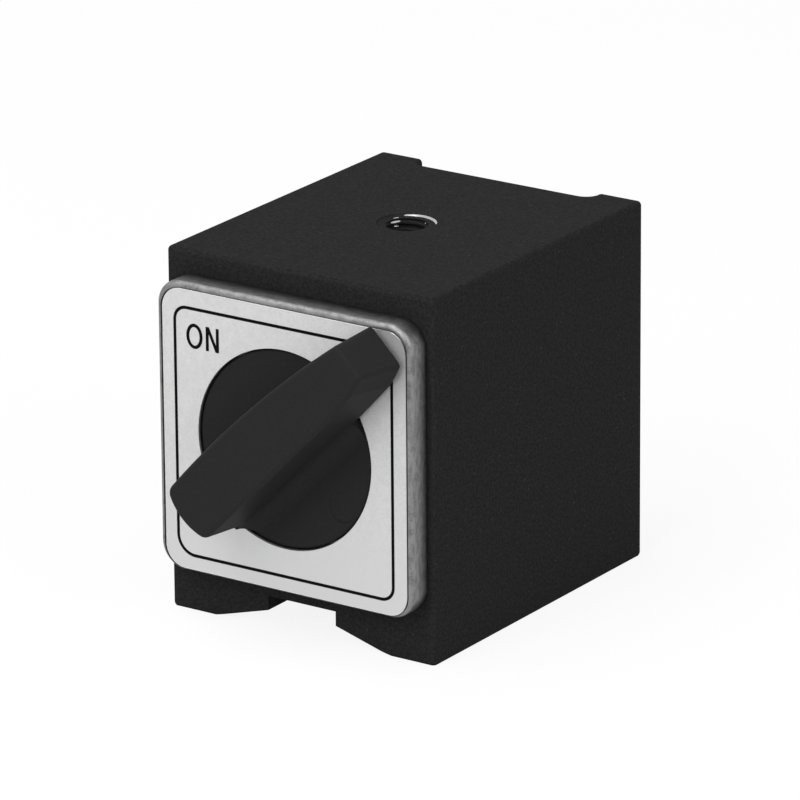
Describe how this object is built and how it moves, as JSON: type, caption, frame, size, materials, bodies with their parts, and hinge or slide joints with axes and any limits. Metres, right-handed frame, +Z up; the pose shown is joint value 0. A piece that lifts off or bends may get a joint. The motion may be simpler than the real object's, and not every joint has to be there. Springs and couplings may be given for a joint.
{
  "type": "switchable magnetic base",
  "caption": "Switchable magnetic base: painted block with a grooved underside, tapped hole on top and a turning knob on its square front plate.",
  "frame": {"origin": "bottom centre of the whole object: mid plane in X, ground faces in Z, half the overall depth with the lever in Y", "axes": "+Z up along the tapped hole, -Y towards the knob and label, +X to the right as seen from the front"},
  "size_m": [0.05, 0.075, 0.06],
  "materials": {
    "body_paint": "semi-matt black powder coat on steel, feet ground bare",
    "spacer_metal": "black powder coat outside, bare metal in the tapped hole",
    "cover_casting": "satin die casting",
    "label_sheet": "satin silver sheet with printed black lines and words",
    "knob_plastic": "fine matt moulded black",
    "zinc_steel": "zinc plated",
    "ground_steel": "ground and oiled",
    "brass": "turned",
    "sintered_bronze": "sintered bronze, oiled",
    "ferrite": "dark matt ceramic magnet",
    "felt": "grey wool felt"
  },
  "bodies": {
    "base": {"pole_block_left": "body_paint", "pole_block_right": "body_paint", "top_spacer": "spacer_metal", "bottom_spacer": "spacer_metal", "rear_plug": "body_paint", "rear_bush": "sintered_bronze", "front_bush": "sintered_bronze", "stop_pin": "ground_steel", "cover_plate": "cover_casting", "label_plate": "label_sheet", "plate_screws": "zinc_steel", "dust_seal": "felt"},
    "rotor": {"knob": "knob_plastic", "knob_screws": "zinc_steel", "drive_flange": "zinc_steel", "rotor_front_cap": "brass", "rotor_rear_cap": "brass", "rotor_pole_upper": "ground_steel", "rotor_pole_lower": "ground_steel", "rotor_tie_screws": "zinc_steel", "front_magnet": "ferrite", "middle_magnet": "ferrite", "rear_magnet": "ferrite", "thrust_spring": "ground_steel"}
  },
  "joints": [
    {"name": "knob_turn", "type": "hinge", "parent": "base", "child": "rotor", "pos_m": [0, -0.02245, 0.0322], "axis": [0, -1, 0], "range_deg": [0, 90]}
  ]
}
